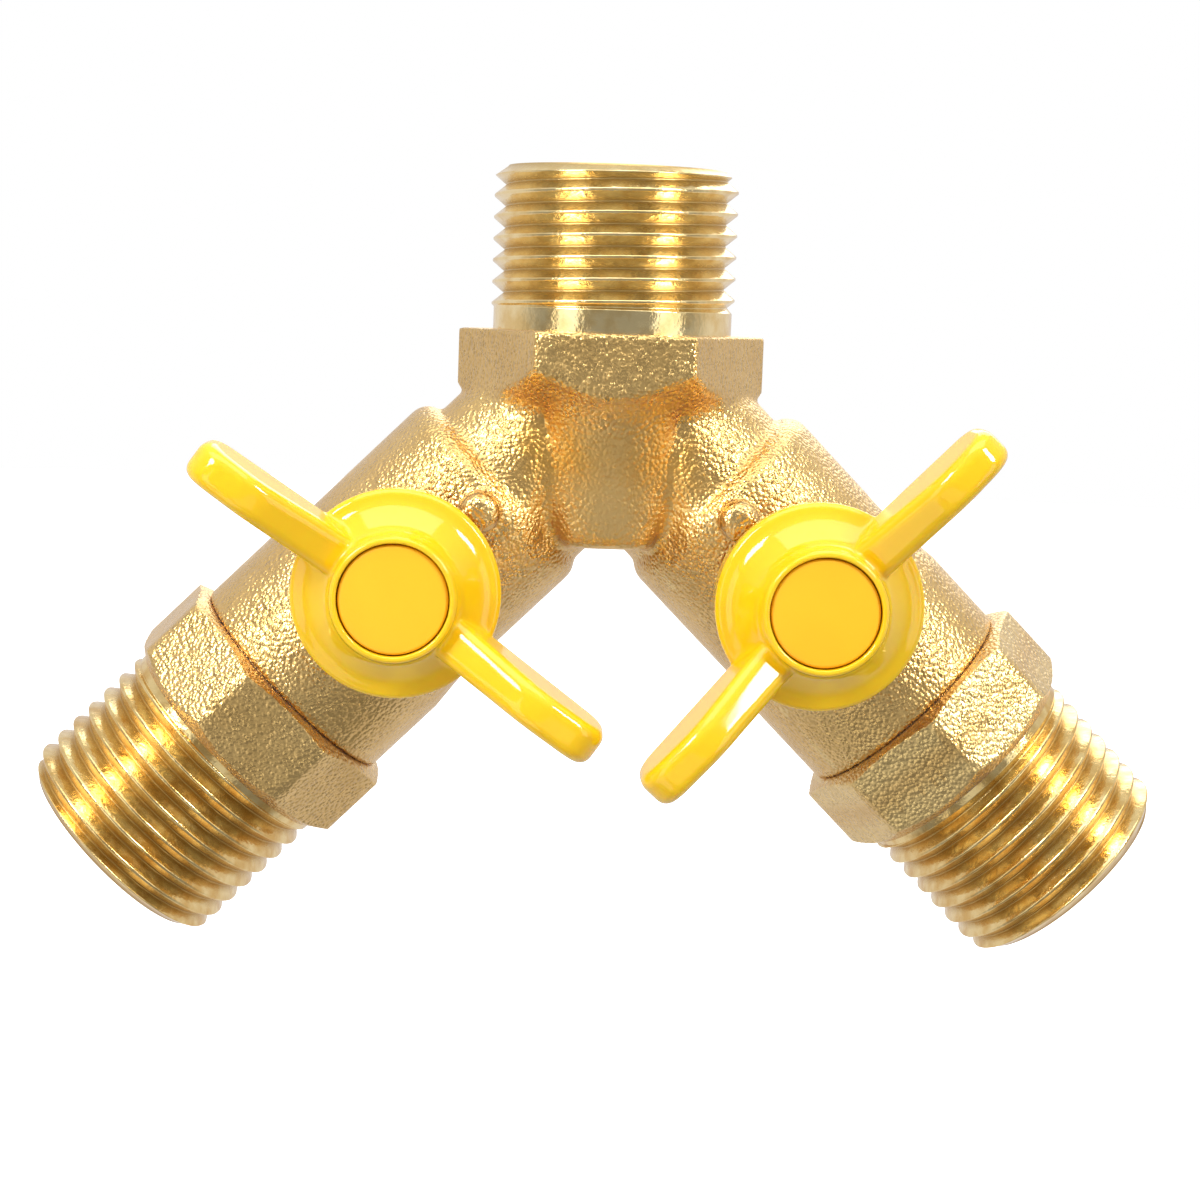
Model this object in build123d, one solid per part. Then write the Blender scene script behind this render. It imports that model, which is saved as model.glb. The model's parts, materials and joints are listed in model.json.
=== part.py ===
"""Hose splitter: one threaded inlet, two ball-valved threaded outlets.

Row frame: origin at the centre of the inlet's end face, +Z up along the
inlet, the two handles towards -Y.  All sizes are in millimetres.
"""
from build123d import *
from math import acos, cos, degrees, radians, sin, tan
import os

# ---------------------------------------------------------------- threads
CREST_R = 10.35            # G1/2 parallel pipe thread, crest radius
THREAD_PITCH = 1.814       # 14 threads per inch
THREAD_DEPTH = 0.9         # crest to root
FLANK_ANGLE = 27.5         # half of the 55 degree thread form
ROOT_FLAT = 0.36
FIRST_LAND = 0.05          # crest left between the neck and the first groove
LEAD_DROP = 0.45           # the thread's first crest is this much lower
LEAD_LENGTH = 0.35
RUNOUT_R = 10.15           # plain neck between thread and wrench section

# ------------------------------------------------------------------ inlet
JUNCTION_DEPTH = 18.0      # end face to the point where the three axes meet
INLET_THREAD = 12.35       # threaded length
INLET_NECK = 1.4
HEX_ACROSS_FLATS = 22.7
HEX_HEIGHT = 5.2           # at the middle of the front flat
HEX_UNDERCUT = 50.0        # degrees, below the front and back corners
HEX_SIDE_UNDERCUT = 38.0   # shallower above the legs
HEX_SIDE_DROP = 1.0        # the side corners reach this much lower
HEX_SIDE_START = 9.0       # from this far off the middle
PORT_R = 7.25              # clear bore of the inlet and of both outlets
INLET_BORE = 14.0
PASSAGE_R = 5.0
FUNNEL_DROP = 4.0          # the inlet's funnel ends this far below the junction

# --------------------------------------------------------------- junction
LEG_ANGLE = 45.0           # each outlet below the horizontal
LEG_NECK_R = 8.05
NECK_FILL_R = 8.5          # fuller towards the crotch
NECK_FILL_SHIFT = 0.45
CORE_R = 8.4               # round core under the hexagon
CORE_DROP = 5.0            # core's lower end below the junction
WEB_HALF_WIDTH = 5.2
WEB_TAPER_DROP = 9.0       # below this the web narrows to its foot
WEB_FOOT_HALF = 3.6
WEB_FOOT_DROP = 13.75
# half depth of the web at each distance below the junction
WEB_DEPTHS = ((-1.5, 10.9), (1.0, 10.6), (4.0, 9.5), (8.5, 8.6), (WEB_FOOT_DROP, 8.1))

# ------------------------------------------------- valve barrel, along a leg
BARREL_START = 12.2
BARREL_INNER_R = 9.65
BARREL_OUTER_R = 10.15
BARREL_STEP_START = 26.0
BARREL_STEP_END = 30.0
BARREL_END = 37.5
BARREL_ROUND = 1.9
STEM_AT = 24.3             # stem axis, from the junction
CHAMBER_START = 16.5
CHAMBER_R = 7.0
SOCKET_START = 32.1        # tapped socket for the end connector
SOCKET_R = 8.0             # M16 x 1
SEAL_SEAT_R = 9.0
SEAL_THICKNESS = 0.9

# ---------------------------------------------------------- end connector
OCT_ACROSS_FLATS = 22.0
OCT_START = 37.75
OCT_END = 44.7
OCT_CHAMFER = 0.5           # towards the thread
SEAM_CHAMFER = 0.6          # towards the barrel, along the leg
SEAM_CHAMFER_DEPTH = 1.5    # and across it
COLLAR_R = 9.4
LEG_END = 58.7
RUNOUT_LENGTH = 0.9
PORT_START = 44.0
OCT_TURN = {"left": 16.0, "right": -1.5}

# ------------------------------------------------------------ ball and seats
BALL_R = 6.6
BALL_BORE_R = 4.25
SEAT_BORE_R = 4.6
SEAT_LENGTH = 4.0
SEAT_GAP = 0.03
SLOT_WIDTH = 3.0
SLOT_DEPTH = 1.7

# --------------------------------------------- stem, heights along the stem
STEM_R = 3.0
STEM_BORE_R = 3.05
STEM_COLLAR_R = 3.9
COLLAR_POCKET_R = 4.05
STEM_COLLAR_BOTTOM = 7.05
STEM_COLLAR_TOP = 7.6
TANG_LENGTH = 6.8
WASHER_TOP = 8.0
O_RING_GROOVES = (8.9, 10.5)
O_RING_GROOVE_WIDTH = 1.0
O_RING_GROOVE_R = 2.2
O_RING_R = 2.62
O_RING_SECTION_R = 0.4
BOSS_R = 6.0
BOSS_TOP = 13.0
BOSS_CHAMFER = 0.4
STEM_SHOULDER = 13.3
SQUARE = 4.2
SQUARE_HOLE = 4.26
SQUARE_TOP = 15.0
SCREW_HOLE_BOTTOM = 11.9
SCREW_R = 1.5

# ------------------------------------------------------------------ handle
FLANGE_R = 8.55
FLANGE_BEVEL_START = 14.4
FLANGE_TOP = 14.75
FLANGE_RIM = 0.35
SKIRT_BACK = 10.5
SKIRT_DRAFT = 0.15         # the skirt's back edge is this much smaller
CAVITY_R = 7.0
BELL = ((7.2, 15.1), (6.2, 16.05))   # radius and height, flange to lip
FLOOR_TOP = 15.2
RECESS_R = 4.5
LIP_R = 4.9
LIP_TOP = 19.0
LIP_ROOT_R = 5.05
LIP_ROOT_HEIGHT = 18.7
ARM_FRONT_THICKNESS = 3.1
ARM_BACK_THICKNESS = 3.9   # the arm's sides have draft
ARM_REACH = {"upper": 19.25, "lower": 20.05}
ARM_EDGE_ROUND = 1.0
ARM_ROOT = 4.7
# side view of an arm: distance from the stem's axis, height, corner radius
ARM_SIDE = ((ARM_ROOT, 13.3, 0), (ARM_ROOT, 17.3, 0), (13.6, 22.0, 6.0))
ARM_TIP = ((21.4, 2.8), (15.4, 2.4))   # height and corner radius at full reach
ARM_BELLY = (9.2, 13.3, 8.0)
STOP_WINDOW_TOP = 12.4

# --------------------------------------------- screw, washer, cap, stop knob
LOCK_WASHER_TOP = 15.7
LOCK_WASHER_R = 2.75
SCREW_HEAD_R = 2.6
SCREW_HEAD_TOP = 17.4
SCREW_HEAD_ROUND = 0.6
SCREW_BOTTOM = 12.2
SCREW_CLEARANCE = 0.02
CROSS_WIDTH = 0.8
CROSS_SPAN = 3.0
CROSS_DEPTH = 0.9
CAP_R = 4.4
CAP_TOP = 18.8
CAP_FACE = 0.8
CAP_SKIRT_BOTTOM = 16.2
CAP_SKIRT_R = 3.5
CAP_ROUND = 0.25
KNOB_R = 1.65
KNOB_AT = 15.1             # from the junction, along the leg
KNOB_TOP = 12.0
KNOB_ROOT = 6.0
KNOB_ROUND = 0.9
STOP_PLAY = 0.3            # degrees between the knob and the window's ends

# ------------------------------------------------------------------ motion
QUARTER_TURN = 90.0
REST_OPENING = {"left": 10.0, "right": 3.0}
# world angle of the first arm when shut, seen from the front, from +X
SHUT_ARM = {"left": 315.0, "right": 45.0}
FIRST_ARM = {"left": "lower", "right": "upper"}
SECOND_ARM = {"left": "upper", "right": "lower"}

JUNCTION = Vector(0, 0, -JUNCTION_DEPTH)
FRONT = (0, -1, 0)
SIDES = {"left": -1, "right": 1}
THROUGH = 40.0             # longer than the body, for tools that cut through


def leg_direction(side):
    """Unit vector from the junction out along one leg."""
    return Vector(SIDES[side] * cos(radians(LEG_ANGLE)), 0, -sin(radians(LEG_ANGLE)))


def leg_frame(side):
    """Local Z runs out along the leg, local X points to the front."""
    return Plane(origin=JUNCTION, x_dir=FRONT, z_dir=leg_direction(side)).location


def stem_centre(side):
    """Centre of the ball, on the leg's axis."""
    return JUNCTION + leg_direction(side) * STEM_AT


def stem_frame(side, angle=0.0):
    """Local Z points to the front, local X is the world's, turned by angle."""
    frame = Plane(origin=stem_centre(side), x_dir=(1, 0, 0), z_dir=FRONT).location
    return frame * Rot(0, 0, angle)


def arm_angle(side):
    """Direction of the handle's first arm at rest."""
    return SHUT_ARM[side] + REST_OPENING[side]


def rod(radius, start, end):
    """Solid cylinder on the local Z axis."""
    return Pos(0, 0, (start + end) / 2) * Cylinder(radius, end - start)


def tube(inner, outer, start, end):
    """Hollow cylinder on the local Z axis."""
    return rod(outer, start, end) - rod(inner, start - 1, end + 1)


def turned(points):
    """Solid turned about the local Z axis from (radius, height) points."""
    outline = Polyline(*[(r, 0, h) for r, h in points], close=True)
    return revolve(make_face(outline), Axis.Z, 360)


def prism(sides, across_flats, start, end, turn=0.0):
    """Regular prism on the local Z axis; turn 0 puts a corner on local X."""
    corner_r = across_flats / 2 / cos(radians(180 / sides))
    face = RegularPolygon(corner_r, sides, rotation=turn)
    return Pos(0, 0, start) * extrude(face, end - start)


def threaded_rod(root_end, tip_end):
    """Threaded length as rings at the thread's pitch, lead chamfer at the tip."""
    slope = tan(radians(FLANK_ANGLE))
    half_root = ROOT_FLAT / 2
    half_groove = half_root + THREAD_DEPTH * slope
    root_r = CREST_R - THREAD_DEPTH
    toward_tip = 1 if tip_end > root_end else -1
    length = abs(tip_end - root_end)
    grooves = round(length / THREAD_PITCH)
    points = [(0, root_end), (RUNOUT_R, root_end)]
    for number in range(grooves):
        centre = half_groove + FIRST_LAND + number * THREAD_PITCH
        crest_r = RUNOUT_R if number == 0 else CREST_R
        next_r = CREST_R - (LEAD_DROP if number == grooves - 1 else 0)
        for offset, radius in (
            (-half_root - (crest_r - root_r) * slope, crest_r),
            (-half_root, root_r),
            (half_root, root_r),
            (half_root + (next_r - root_r) * slope, next_r),
        ):
            points.append((radius, root_end + toward_tip * (centre + offset)))
    lead_start = tip_end - toward_tip * LEAD_LENGTH
    points += [(CREST_R - LEAD_DROP, lead_start), (root_r, tip_end), (0, tip_end)]
    return turned(points)


# ---------------------------------------------------------------- valve body
def undercut_cone(low, angle):
    """Cone that trims a prism's lower corners; it meets the flats at low."""
    flat_r = HEX_ACROSS_FLATS / 2
    reach = HEX_HEIGHT
    slope = tan(radians(angle))
    return turned([(0, low - reach), (flat_r - reach / slope, low - reach),
                   (flat_r + reach, low + reach * slope), (flat_r + reach, reach), (0, reach)])


def hexagon():
    """Inlet hexagon, a flat to the front, its lower corners undercut."""
    top = -(INLET_THREAD + INLET_NECK)
    low = top - HEX_HEIGHT
    blank = prism(6, HEX_ACROSS_FLATS, low - HEX_HEIGHT, top)
    middle = Box(2 * HEX_SIDE_START, THROUGH, 2 * THROUGH)
    sides = blank & undercut_cone(low - HEX_SIDE_DROP, HEX_SIDE_UNDERCUT)
    return (blank & undercut_cone(low, HEX_UNDERCUT)) + (sides - middle)


def web():
    """Web that fills the fork; it is deeper where it meets the hexagon."""
    z = JUNCTION.Z
    right_edge = [(WEB_HALF_WIDTH, z + 2), (WEB_HALF_WIDTH, z - WEB_TAPER_DROP),
                  (WEB_FOOT_HALF, z - WEB_FOOT_DROP)]
    left_edge = [(-x, height) for x, height in reversed(right_edge)]
    front_view = Polyline(*right_edge, *left_edge, close=True)
    plate = extrude(Plane.XZ * make_face(front_view), THROUGH, both=True)
    front_edge = [(depth, z - drop) for drop, depth in WEB_DEPTHS]
    back_edge = [(-depth, z - drop) for drop, depth in reversed(WEB_DEPTHS)]
    side_view = Polyline(*front_edge, *back_edge, close=True)
    return plate & extrude(Plane.YZ * make_face(side_view), THROUGH, both=True)


def leg_neck(side):
    """Neck between the junction and a barrel, fuller towards the crotch."""
    along = Vector(SIDES[side] * cos(radians(LEG_ANGLE)), 0, sin(radians(LEG_ANGLE)))
    fill = Pos(*(along * -NECK_FILL_SHIFT)) * leg_frame(side) * rod(NECK_FILL_R, 0, BARREL_START + 3)
    return fill + leg_frame(side) * rod(LEG_NECK_R, 0, BARREL_START + 3)


def barrel():
    """Outside of one valve barrel, in its leg's frame."""
    blank = turned([(0, BARREL_START), (BARREL_INNER_R, BARREL_START),
                    (BARREL_INNER_R, BARREL_STEP_START), (BARREL_OUTER_R, BARREL_STEP_END),
                    (BARREL_OUTER_R, BARREL_END), (0, BARREL_END)])
    return fillet(blank.edges().sort_by(Axis.Z)[0], BARREL_ROUND)


def stem_boss(side):
    """Round boss that carries the stem, with the stop knob beside it."""
    boss = rod(BOSS_R, 0, BOSS_TOP)
    boss = stem_frame(side) * chamfer(boss.edges().sort_by(Axis.Z)[-1], BOSS_CHAMFER)
    knob = rod(KNOB_R, KNOB_ROOT, KNOB_TOP)
    knob = fillet(knob.edges().sort_by(Axis.Z)[-1], KNOB_ROUND)
    knob_centre = JUNCTION + leg_direction(side) * KNOB_AT
    knob = Plane(origin=knob_centre, x_dir=(1, 0, 0), z_dir=FRONT).location * knob
    return boss + knob


def barrel_bores(side):
    """Everything cut out of one leg: passage, chamber, socket and stem bore."""
    along = rod(PASSAGE_R, 0, CHAMBER_START + 1)
    along += rod(CHAMBER_R, CHAMBER_START, SOCKET_START + 1)
    along += rod(SOCKET_R, SOCKET_START, BARREL_END + 1)
    along += rod(SEAL_SEAT_R, BARREL_END - SEAL_THICKNESS, BARREL_END + 1)
    across = rod(STEM_BORE_R, 0, BOSS_TOP + 1) + rod(COLLAR_POCKET_R, 0, WASHER_TOP)
    return leg_frame(side) * along + stem_frame(side) * across


def valve_body():
    """The one-piece brass casting with the inlet thread cut on it."""
    shoulder = -(INLET_THREAD + INLET_NECK)
    solid = threaded_rod(-INLET_THREAD, 0) + rod(RUNOUT_R, shoulder - 1, -INLET_THREAD)
    solid += hexagon() + rod(CORE_R, JUNCTION.Z - CORE_DROP, shoulder - 1) + web()
    for side in SIDES:
        solid += leg_frame(side) * barrel() + leg_neck(side)
        solid += stem_boss(side)
    solid -= rod(PORT_R, -INLET_BORE, 1)
    solid -= turned([(0, JUNCTION.Z - FUNNEL_DROP), (PASSAGE_R, JUNCTION.Z),
                     (PORT_R, -INLET_BORE), (0, -INLET_BORE)])
    for side in SIDES:
        solid -= barrel_bores(side)
    return solid


# ------------------------------------------------- parts along the leg's axis
def end_connector(side):
    """Screwed-in end: shank, collar, octagonal wrench section, thread."""
    clear = 0.02
    solid = rod(SOCKET_R - clear, SOCKET_START, BARREL_END) + rod(COLLAR_R, BARREL_END, OCT_START)
    octagon = prism(8, OCT_ACROSS_FLATS, OCT_START, OCT_END, OCT_TURN[side])
    corner_r = OCT_ACROSS_FLATS / 2 / cos(radians(22.5))
    octagon &= turned([(0, OCT_START), (corner_r - SEAM_CHAMFER_DEPTH, OCT_START),
                       (corner_r, OCT_START + SEAM_CHAMFER), (corner_r, OCT_END - OCT_CHAMFER),
                       (corner_r - 2 * OCT_CHAMFER, OCT_END), (0, OCT_END)])
    thread_start = OCT_END + RUNOUT_LENGTH
    solid += octagon + rod(RUNOUT_R, OCT_END - 1, thread_start) + threaded_rod(thread_start, LEG_END)
    solid -= rod(PASSAGE_R, SOCKET_START - 1, PORT_START + 1)
    solid -= rod(PORT_R, PORT_START, LEG_END + 1)
    return leg_frame(side) * solid


def joint_seal(side):
    """Flat ring that seals the end connector against the barrel's mouth."""
    ring = tube(SOCKET_R + 0.03, SEAL_SEAT_R - 0.03, BARREL_END - SEAL_THICKNESS + 0.02, BARREL_END)
    return leg_frame(side) * ring


def seat(side, outer):
    """Ring with a spherical face that the ball turns against."""
    if outer:
        start, end = SOCKET_START - SEAT_LENGTH, SOCKET_START
    else:
        start, end = CHAMBER_START, CHAMBER_START + SEAT_LENGTH
    ring = tube(SEAT_BORE_R, CHAMBER_R - 0.03, start, end)
    return leg_frame(side) * (ring - Pos(0, 0, STEM_AT) * Sphere(BALL_R + SEAT_GAP))


# ------------------------------------------------- parts along the stem's axis
def ball(side):
    """Bored ball; the bore lies along the handle's arms, the slot across it."""
    solid = Sphere(BALL_R) - Rot(0, 90, 0) * Cylinder(BALL_BORE_R, 4 * BALL_R)
    slot = Box(SLOT_WIDTH, 4 * BALL_R, 2 * SLOT_DEPTH)
    solid -= Pos(0, 0, BALL_R) * slot
    return stem_frame(side, arm_angle(side)) * solid


def stem(side):
    """Stem with its tang, collar, two ring grooves, square head and tapped hole."""
    tang_low = BALL_R - SLOT_DEPTH + 0.1
    tang = Box(SLOT_WIDTH - 0.16, TANG_LENGTH, STEM_COLLAR_TOP - tang_low)
    solid = Pos(0, 0, (tang_low + STEM_COLLAR_TOP) / 2) * tang
    solid += rod(STEM_COLLAR_R, STEM_COLLAR_BOTTOM, STEM_COLLAR_TOP)
    solid += rod(STEM_R, STEM_COLLAR_TOP - 0.5, STEM_SHOULDER)
    for low in O_RING_GROOVES:
        solid -= tube(O_RING_GROOVE_R, STEM_R + 1, low, low + O_RING_GROOVE_WIDTH)
    head = Box(SQUARE, SQUARE, SQUARE_TOP - STEM_SHOULDER)
    solid += Pos(0, 0, (STEM_SHOULDER + SQUARE_TOP) / 2) * head
    solid -= rod(SCREW_R, SCREW_HOLE_BOTTOM, SQUARE_TOP + 1)
    return stem_frame(side, arm_angle(side)) * solid


def thrust_washer(side):
    """Slippery washer between the stem's collar and the body."""
    ring = tube(STEM_BORE_R, COLLAR_POCKET_R - 0.03, STEM_COLLAR_TOP + 0.03, WASHER_TOP)
    return stem_frame(side) * ring


def stem_o_ring(side, low):
    """Rubber ring in one of the stem's grooves."""
    middle = low + O_RING_GROOVE_WIDTH / 2
    return stem_frame(side) * Pos(0, 0, middle) * Torus(O_RING_R, O_RING_SECTION_R)


def arm(reach):
    """One handle arm along local X: a blade that rises and rounds over at its tip."""
    corners = [*ARM_SIDE, *[(reach, height, radius) for height, radius in ARM_TIP], ARM_BELLY]
    side_view = make_face(Polyline(*[(x, height) for x, height, _ in corners], close=True))
    for x, height, radius in corners:
        if radius:
            corner = min(side_view.vertices(), key=lambda v: (v.X - x) ** 2 + (v.Y - height) ** 2)
            side_view = fillet(corner, radius)
    blade = Rot(90, 0, 0) * extrude(side_view, ARM_BACK_THICKNESS, both=True)
    front, back = ARM_FRONT_THICKNESS / 2, ARM_BACK_THICKNESS / 2
    low, high = ARM_SIDE[0][1], ARM_SIDE[2][1]
    section = Polyline((0, -back, low), (0, back, low), (0, front, high), (0, -front, high), close=True)
    blade &= extrude(make_face(section), 2 * reach, both=True)
    sides = [face for face in blade.faces() if abs(face.normal_at().Y) > 0.9]
    edges = [edge for face in sides for edge in face.edges() if edge.center().X > ARM_ROOT + 0.1]
    return fillet(edges, ARM_EDGE_ROUND)


def hub():
    """Bell-shaped middle of the handle, open at the back and recessed in front."""
    lip_root = (LIP_ROOT_R, 0, LIP_ROOT_HEIGHT)
    rim = (FLANGE_R - FLANGE_RIM, 0, FLANGE_TOP)
    bell = Spline(rim, *[(r, 0, height) for r, height in BELL], lip_root,
                  tangents=[(-1, 0, 0.05), (-0.1, 0, 1)])
    outline = bell + Polyline(lip_root, (LIP_R, 0, LIP_TOP), (0, 0, LIP_TOP),
                              (0, 0, SKIRT_BACK), (FLANGE_R - SKIRT_DRAFT, 0, SKIRT_BACK),
                              (FLANGE_R, 0, FLANGE_BEVEL_START), rim)
    return revolve(make_face(outline), Axis.Z, 360)


def stop_window():
    """Sector cut from the skirt, which the stop knob travels in."""
    reach = STEM_AT - KNOB_AT
    cosine = (FLANGE_R ** 2 + reach ** 2 - KNOB_R ** 2) / (2 * FLANGE_R * reach)
    half_knob = degrees(acos(cosine)) + STOP_PLAY
    outline = Polyline((0, 0, SKIRT_BACK - 1), (FLANGE_R + 1, 0, SKIRT_BACK - 1),
                       (FLANGE_R + 1, 0, STOP_WINDOW_TOP), (0, 0, STOP_WINDOW_TOP), close=True)
    return Rot(0, 0, -half_knob) * revolve(make_face(outline), Axis.Z, QUARTER_TURN + 2 * half_knob)


def handle(side):
    """Two-armed moulded handle."""
    solid = hub() + arm(ARM_REACH[FIRST_ARM[side]])
    solid += Rot(0, 0, 180) * arm(ARM_REACH[SECOND_ARM[side]])
    solid -= rod(CAVITY_R, SKIRT_BACK - 1, STEM_SHOULDER)
    solid -= rod(RECESS_R, FLOOR_TOP, LIP_TOP + 1)
    solid -= Pos(0, 0, FLOOR_TOP) * Box(SQUARE_HOLE, SQUARE_HOLE, 8)
    solid -= stop_window()
    return stem_frame(side, arm_angle(side)) * solid


def lock_washer(side):
    """Washer between the handle's floor and the screw head."""
    return stem_frame(side) * tube(SCREW_R + 0.1, LOCK_WASHER_R, FLOOR_TOP, LOCK_WASHER_TOP)


def handle_screw(side):
    """Cross-recessed screw that holds the handle on the stem."""
    head = rod(SCREW_HEAD_R, LOCK_WASHER_TOP, SCREW_HEAD_TOP)
    head = fillet(head.edges().sort_by(Axis.Z)[-1], SCREW_HEAD_ROUND)
    recess = Box(CROSS_WIDTH, CROSS_SPAN, 2 * CROSS_DEPTH)
    recess += Box(CROSS_SPAN, CROSS_WIDTH, 2 * CROSS_DEPTH)
    solid = head + rod(SCREW_R - SCREW_CLEARANCE, SCREW_BOTTOM, LOCK_WASHER_TOP)
    solid -= Pos(0, 0, SCREW_HEAD_TOP) * recess
    return stem_frame(side, arm_angle(side)) * solid


def handle_cap(side):
    """Snap-in cap with a faintly crowned face and a skirt."""
    face = rod(CAP_R, CAP_TOP - CAP_FACE, CAP_TOP)
    face = fillet(face.edges().sort_by(Axis.Z)[-1], CAP_ROUND)
    skirt = tube(CAP_SKIRT_R, CAP_R, CAP_SKIRT_BOTTOM, CAP_TOP - CAP_FACE)
    return stem_frame(side) * (face + skirt)


def build():
    """Name every sub-part."""
    parts = {"valve_body": valve_body()}
    for side in SIDES:
        parts[side + "_end_connector"] = end_connector(side)
        parts[side + "_joint_seal"] = joint_seal(side)
        parts[side + "_inner_seat"] = seat(side, outer=False)
        parts[side + "_outer_seat"] = seat(side, outer=True)
        parts[side + "_ball"] = ball(side)
        parts[side + "_stem"] = stem(side)
        parts[side + "_thrust_washer"] = thrust_washer(side)
        parts[side + "_stem_o_ring_lower"] = stem_o_ring(side, O_RING_GROOVES[0])
        parts[side + "_stem_o_ring_upper"] = stem_o_ring(side, O_RING_GROOVES[1])
        parts[side + "_handle"] = handle(side)
        parts[side + "_lock_washer"] = lock_washer(side)
        parts[side + "_handle_screw"] = handle_screw(side)
        parts[side + "_handle_cap"] = handle_cap(side)
    return parts


os.makedirs("parts", exist_ok=True)
for name, solid in build().items():
    solid.label = name
    export_step(solid, f"parts/{name}.step")
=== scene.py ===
"""Looks of a brass hose splitter: cast body, helical threads, glossy handles.

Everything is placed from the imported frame: the inlet lies on its Z axis, the
mounts give the legs' axes, and the joints give the stems' axes.  Shapes are
written in millimetres in local frames and become metres when they are placed.
"""
import json
import math

import bmesh
import bpy
import numpy as np
from mathutils import Matrix, Vector


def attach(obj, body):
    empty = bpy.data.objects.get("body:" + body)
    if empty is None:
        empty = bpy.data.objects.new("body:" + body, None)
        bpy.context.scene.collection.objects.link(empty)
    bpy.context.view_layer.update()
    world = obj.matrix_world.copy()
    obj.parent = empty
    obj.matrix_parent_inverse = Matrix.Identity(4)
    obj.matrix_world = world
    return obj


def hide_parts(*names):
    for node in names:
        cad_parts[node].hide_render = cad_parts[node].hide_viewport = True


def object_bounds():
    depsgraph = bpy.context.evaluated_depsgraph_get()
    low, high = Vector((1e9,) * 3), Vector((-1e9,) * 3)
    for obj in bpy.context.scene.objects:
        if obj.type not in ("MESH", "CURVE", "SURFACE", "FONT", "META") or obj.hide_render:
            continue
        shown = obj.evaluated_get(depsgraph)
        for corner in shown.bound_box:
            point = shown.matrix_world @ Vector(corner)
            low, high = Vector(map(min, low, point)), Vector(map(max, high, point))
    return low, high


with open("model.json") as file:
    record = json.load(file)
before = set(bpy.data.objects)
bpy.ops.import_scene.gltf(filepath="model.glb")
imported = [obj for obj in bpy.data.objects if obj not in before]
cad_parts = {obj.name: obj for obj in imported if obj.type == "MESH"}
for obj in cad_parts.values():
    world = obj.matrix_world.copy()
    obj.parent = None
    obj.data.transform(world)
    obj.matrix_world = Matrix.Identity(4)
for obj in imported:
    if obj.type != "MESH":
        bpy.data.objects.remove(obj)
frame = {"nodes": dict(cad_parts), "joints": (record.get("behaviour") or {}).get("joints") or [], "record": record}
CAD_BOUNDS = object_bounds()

MM = 0.001
SIDES = ("left", "right")

# -------------------------------------------------- dimensions, in millimetres
# threads
CREST_R = 10.35
THREAD_PITCH = 1.814
THREAD_DEPTH = 1.0
THREAD_ROOT_R = CREST_R - THREAD_DEPTH
CREST_HALF = 0.09           # half width of a thread's flat crest
THREAD_SHIFT = {"inlet": 0.59, "left": 0.71, "right": 0.38}     # in turns
THREAD_STEP = 0.06          # between two rows of a thread
THREAD_SEGMENTS = 256       # round a thread
RUNOUT_R = 10.15            # plain shank behind a thread
RUNOUT_SLOPE = 0.9          # the shank's fall per millimetre of thread
LEAD_SLOPE = 1.4            # the crest's rise per millimetre from the tip
LEAD_INSET = 0.05           # the rise starts this far under the root

# mouths
PORT_R = 7.25
PASSAGE_R = 5.0
TIP_LENGTH = 0.12           # end of the thread to the end face
FACE_R = THREAD_ROOT_R - 0.15   # end face's outer edge
MOUTH_CHAMFER = 0.25

# inlet, down from its end face
INLET_THREAD = 11.85
SHOULDER = 13.75            # to the hexagon
NECK_OVERLAP = 1.0          # the neck's reach into the hexagon
NECK_CUT = 0.02             # below the shoulder, where the CAD body is cut off
NECK_GAP = 0.05             # shank's end to the thread's first row

# hexagon's front, measured from the junction
HEX_CORNER = 6.55           # front flat's half width
HEX_ARC_LOW = 0.95          # front flat's lowest point, below the junction
HEX_ARC_RISE = 2.05         # its corners are this much higher
HEX_SIDE_SLOPE = 0.5        # fall of the edge past the corners, per millimetre

# end connectors, out along the leg from the junction
LEG_LENGTH = 58.7           # to the outlet's end face
SHANK_START = 32.1
SHANK_R = 7.98
SEAM = 37.5                 # to the barrel's end
SEAM_GAP = 0.01             # between the shank's last row and the collar
SEAM_COLLAR_R = 9.5
SEAM_CHAMFER = 0.62         # octagon's chamfer at the seam, along the leg
SEAM_CHAMFER_DEPTH = 1.5
SEAM_CHAMFER_STEPS = 8
OCT_START = 37.55
OCT_HEIGHTS = (39.5, 41.0, 42.5)
OCT_CONE_START = 43.7
OCT_CONE_SLOPE = 1.3
OCT_CONE_STEP = 0.13
OCT_CONE_STEPS = 10
OCT_END = 45.0
OCT_LIP = 0.02              # octagon's end to the shank's first row
OCT_ACROSS_FLATS = 22.0
OCT_TURN = {"left": 16.0, "right": -1.5}    # degrees
OCT_CORNER_WEAR = 0.12      # taken off the corners
OCT_CORNER_REACH = 0.35     # how far under the corner radius the wear starts
OUTLET_SHANK = 0.6          # octagon's end to the thread
OUTLET_GAP = 0.03           # shank's end to the thread's first row
PORT_END = 44.0             # where the wide bore meets the passage

# stop knobs: place on the leg, heights to the front from its axis
KNOB_AT = 15.1
KNOB_R = 1.7
KNOB_FOOT = 8.6
KNOB_TOP = 12.0
KNOB_DOME = 1.0
KNOB_SEGMENTS = 48

# caps: heights to the front from the ball's centre
CAP_R = 4.4
CAP_BOTTOM = 17.9
CAP_TOP = 18.8
CAP_CHAMFER = 0.1
CAP_EDGE = 0.3              # radius of the rolled edge
CAP_CROWN = 0.12            # the face's fall from its centre to CAP_CROWN_R
CAP_CROWN_R = 3.9
CAP_CROWN_ROWS = (3.6, 3.0, 2.2, 1.4, 0.7, 0.0)
CAP_SEGMENTS = 96

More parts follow.
